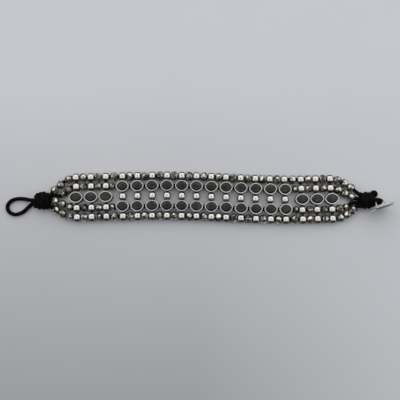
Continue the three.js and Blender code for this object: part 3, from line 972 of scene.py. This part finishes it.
# The button's own frame: its front looks along +Z and its shank stands off behind
BUTTON_RADIUS = 6.5
BUTTON_THICKNESS = 1.2
BUTTON_HEADING = math.radians(19)
BUTTON_LEAN = math.radians(6)
BUTTON_SIDES = 224
BUTTON_RINGS = 64
BUTTON_PLACE = bars[-1].middle + np.array([25.2, -4.1, 0.0])
stand = Matrix.Rotation(math.pi / 2 - BUTTON_LEAN, 3, "X")
button_turn = np.array(Matrix.Rotation(BUTTON_HEADING, 3, "Z") @ stand)
button_height = BUTTON_RADIUS * math.cos(BUTTON_LEAN) + BUTTON_THICKNESS * math.sin(BUTTON_LEAN)
button_middle = BUTTON_PLACE + np.array([0.0, 0.0, button_height])


def on_button(points):
    return np.asarray(points, float) @ button_turn.T + button_middle


# Height of the button's face at a share of its radius, raised rim outside and a boss inside
FACE_SHARES = (0.0, 0.10, 0.20, 0.28, 0.36, 0.62, 0.70, 0.78, 0.86, 0.91, 0.95, 1.0)
FACE_HEIGHTS = (1.22, 1.18, 1.02, 0.90, 0.90, 0.92, 0.90, 0.94, 1.16, 1.20, 1.10, 0.60)
CENTRE_SHARE = 0.02

# Darkening of the face: painted shade that lies everywhere inside the clean rim, tarnish and more
# painted shade at the face's level, and how high above it there is none of that
FACE_LEVEL = 0.9
FACE_SHADE = 0.25
HOLLOW_TARNISH_AND_SHADE = 0.6
HOLLOW_DEPTH = 0.18
CLEAN_RIM = 0.94

# Rings of the button's side and back: share of its radius, and height
SIDE_RINGS = [
    (1.005, 0.56),
    (1.008, 0.34),
    (1.005, 0.12),
    (0.99, 0.03),
    (0.94, 0.0),
    (0.4, -0.02),
    (CENTRE_SHARE, -0.03),
]

# The ring of pearls and the rosette: places and widths are shares of the radius or of a petal
PEARLS = 28
PEARL_RING = 0.76
PEARL_RADIUS = 0.52
PEARL_HEIGHT = 0.34
PETALS = 8
PETAL_START = 0.24
PETAL_SPAN = 0.42
PETAL_WIDTH = 0.86
PETAL_TIP = 0.05
PETAL_POWER = 0.7
PETAL_HEIGHT = 0.3

# The wire shank, which stands off behind the button. Half of its arch, from the top to the foot
# inside the button, is given as shares of its half width and of its reach.
SHANK_WIRE = 0.35
SHANK_WIDTH = 5.2
SHANK_REACH = 4.7
SHANK_ARCH = ((0.0, 1.0), (0.75, 0.8), (1.0, 0.35))
SHANK_FOOT = 0.4
SHANK_SIDES = 16
SHANK_STEP = 0.15
SHANK_DIRT = 0.1


def ornament(share, turn):
    """Height of the pearls and petals on one ring of the button's face."""
    pearl_span = TAU / PEARLS
    off = (turn % pearl_span - pearl_span / 2) * share * BUTTON_RADIUS
    away = np.hypot(off, (share - PEARL_RING) * BUTTON_RADIUS)
    pearl = np.sqrt(np.clip(1 - (away / PEARL_RADIUS) ** 2, 0, 1)) * PEARL_HEIGHT
    petal_span = TAU / PETALS
    lean = np.abs(turn % petal_span - petal_span / 2) / (petal_span / 2)
    swell = np.sin(np.pi * np.clip((share - PETAL_START) / PETAL_SPAN, 0, 1))
    width = np.maximum(swell**PETAL_POWER * PETAL_WIDTH, PETAL_TIP)
    petal = np.clip(1 - (lean / width) ** 2, 0, 1) ** 0.5 * PETAL_HEIGHT * swell
    return np.maximum(pearl, petal)


def button_shell():
    """A disc with a rim, a ring of pearls and a plain rosette on its front, and its shank."""
    shell = Shell()
    turn = np.arange(BUTTON_SIDES) * TAU / BUTTON_SIDES
    rings = []
    grime_and_shade_rings = []

    def ring(share, height, grime_and_shade):
        radius = share * BUTTON_RADIUS
        rings.append(np.stack([radius * np.cos(turn), radius * np.sin(turn), height], 1))
        grime_and_shade_rings.append(grime_and_shade)

    for share in np.linspace(CENTRE_SHARE, 1.0, BUTTON_RINGS):
        height = np.interp(share, FACE_SHARES, FACE_HEIGHTS) + ornament(share, turn)
        # Painted shade over the whole front inside the clean rim, with tarnish and more painted
        # shade in the hollows.
        flat = np.clip(1 - (height - FACE_LEVEL) / HOLLOW_DEPTH, 0, 1)
        ring(share, height, (FACE_SHADE + HOLLOW_TARNISH_AND_SHADE * flat) * (share < CLEAN_RIM))
    for share, height in SIDE_RINGS:
        ring(share, np.full(BUTTON_SIDES, height), np.zeros(BUTTON_SIDES))
    rows = len(rings)
    faces = grid(rows, BUTTON_SIDES) + caps(rows, BUTTON_SIDES)
    shell.add(np.concatenate(rings), faces, np.concatenate(grime_and_shade_rings))
    half = SHANK_WIDTH / 2 - SHANK_WIRE
    reach = SHANK_REACH - SHANK_WIRE
    right_half = [(half * wide, 0.0, -reach * deep) for wide, deep in SHANK_ARCH]
    right_half.append((half, 0.0, SHANK_FOOT))
    left_half = [(-x, y, z) for x, y, z in reversed(right_half[1:])]
    arch = smooth_path(left_half + right_half, SHANK_STEP)
    cord(shell, arch, SHANK_WIRE, SHANK_SIDES, grime_and_shade=SHANK_DIRT)
    return shell


button = button_shell().make("button_ornamented", BUTTON_SILVER, on_button)
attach(button, "root")
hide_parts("button")


# The right knot: wraps, a tight side loop, and the bight that holds the button's shank
LOBE_ALONG = 7.7
LOBE_ASIDE = 3.33
LOBE_STEPS = 60
LOBE_LEATHER = 1.02

# Turns of the side loop: how far each tilts, and its radius
LOBE_TURNS = ((0.0, 1.05), (1.2, 0.9))


def add_lobe(knot):
    """The tight side loop, two turns of leather round one middle."""
    middle = knot.place + np.array([LOBE_ALONG, LOBE_ASIDE, knot.height / 2])
    turn = np.linspace(0, TAU, LOBE_STEPS, endpoint=False)
    for tilt, size in LOBE_TURNS:
        x = size * np.cos(turn)
        y = size * np.sin(turn) * math.cos(tilt)
        z = size * np.sin(turn) * math.sin(tilt)
        ring = np.stack([x, y, z], 1) + middle
        cord(knot.shell, ring, LOBE_LEATHER, WRAP_SIDES, closed=True, ribs=RIB_DEPTH)


right_place = bars[-1].middle + np.array([KNOT_OUT["right"], RIGHT_KNOT_ASIDE, 0.0])
right = Knot(right_place, 1, RIGHT_KNOT_HEIGHT)
right.core(*RIGHT_CORE)
for columns in RIGHT_WRAPS:
    right.wrap(*columns)
add_lobe(right)
right.route(BIGHT)
right_knot = right.shell.make("knot_right_wound", KNOT_LEATHER)
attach(right_knot, "root")
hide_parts("knot_right")


# Floor, in metres
FLOOR_SIZE = 6.0
bpy.ops.mesh.primitive_plane_add(size=FLOOR_SIZE, location=(0.0, 0.0, 0.0))
floor = bpy.context.object
floor.name = "floor"
floor.data.materials.append(floor_with_painted_falloff())

# Sky: its tint, its strength from the near side to the far one and from the horizon up, and the
# dark patch: its direction, its angles where it starts and where it is full, and its strength
SKY_TINT = (0.98, 0.985, 1.0, 1.0)
NEAR_TO_FAR = (-0.48, -0.08, 0.04, 1.0)
HORIZON_UP = (0.0, 0.55, 0.22, 1.0)
PATCH_TOWARDS = Vector((-0.02, 0.10, 1.0))
PATCH_OUTSIDE = math.radians(9)
PATCH_INSIDE = math.radians(5)
PATCH_STRENGTH = 0.15


def sky():
    """A light tent: bright above and to the far side, dim to the near side, and a dark patch
    overhead where the photographer stands."""
    world = bpy.data.worlds.new("tent")
    bpy.context.scene.world = world
    world.use_nodes = True
    tree = world.node_tree
    background = tree.nodes["Background"]

    def node(kind, **settings):
        made = tree.nodes.new(kind)
        for key, value in settings.items():
            setattr(made, key, value)
        return made

    def ranged(source, *limits):
        made = node("ShaderNodeMapRange", interpolation_type="SMOOTHSTEP")
        for name, value in zip(RANGE_SOCKETS, limits):
            made.inputs[name].default_value = value
        tree.links.new(source, made.inputs["Value"])
        return made.outputs["Result"]

    def multiply(first, second):
        made = node("ShaderNodeMath", operation="MULTIPLY")
        tree.links.new(first, made.inputs[0])
        tree.links.new(second, made.inputs[1])
        return made.outputs["Value"]

    direction = node("ShaderNodeTexCoord").outputs["Generated"]
    split = node("ShaderNodeSeparateXYZ")
    tree.links.new(direction, split.inputs["Vector"])
    side = ranged(split.outputs["Y"], *NEAR_TO_FAR)
    height = ranged(split.outputs["Z"], *HORIZON_UP)
    patch = node("ShaderNodeVectorMath", operation="DOT_PRODUCT")
    patch.inputs[1].default_value = tuple(PATCH_TOWARDS.normalized())
    tree.links.new(direction, patch.inputs[0])
    edge = (math.cos(PATCH_OUTSIDE), math.cos(PATCH_INSIDE))
    dimmed = ranged(patch.outputs["Value"], *edge, 1.0, PATCH_STRENGTH)
    strength = multiply(multiply(side, height), dimmed)
    tree.links.new(strength, background.inputs["Strength"])
    background.inputs["Color"].default_value = SKY_TINT


sky()

# A large weak window at the far side, in metres
WINDOW_SIZE = (0.8, 0.5)
WINDOW_ENERGY = 0.3
WINDOW_PLACE = (0.03, 0.36, 0.42)
lamp = bpy.data.lights.new("north_window", "AREA")
lamp.shape = "RECTANGLE"
lamp.size, lamp.size_y = WINDOW_SIZE
lamp.energy = WINDOW_ENERGY
window = bpy.data.objects.new("north_window", lamp)
window.location = WINDOW_PLACE
window.rotation_euler = (-window.location).to_track_quat("-Z", "Y").to_euler()
bpy.context.scene.collection.objects.link(window)

# Camera, in millimetres: its distance, what it looks at, the field over its sensor's width and
# the nearest that it sees
CAMERA_DISTANCE = 281.0
CAMERA_ELEVATION = math.radians(86)
LOOK_AT = Vector((1.05, -1.1, 0.0))
FIELD = math.radians(41.6)
SENSOR = 36.0
NEAREST_SEEN = 10.0
lens = bpy.data.cameras.new("camera")
lens.sensor_width = SENSOR
lens.lens = SENSOR / 2 / math.tan(FIELD / 2)
lens.clip_start = NEAREST_SEEN * MM
camera = bpy.data.objects.new("camera", lens)
back = Vector((0.0, -math.cos(CAMERA_ELEVATION), math.sin(CAMERA_ELEVATION)))
camera.location = (LOOK_AT + back * CAMERA_DISTANCE) * MM
camera.rotation_euler = back.to_track_quat("Z", "Y").to_euler()
bpy.context.scene.collection.objects.link(camera)
bpy.context.scene.camera = camera
bpy.context.scene.view_settings.view_transform = "Standard"
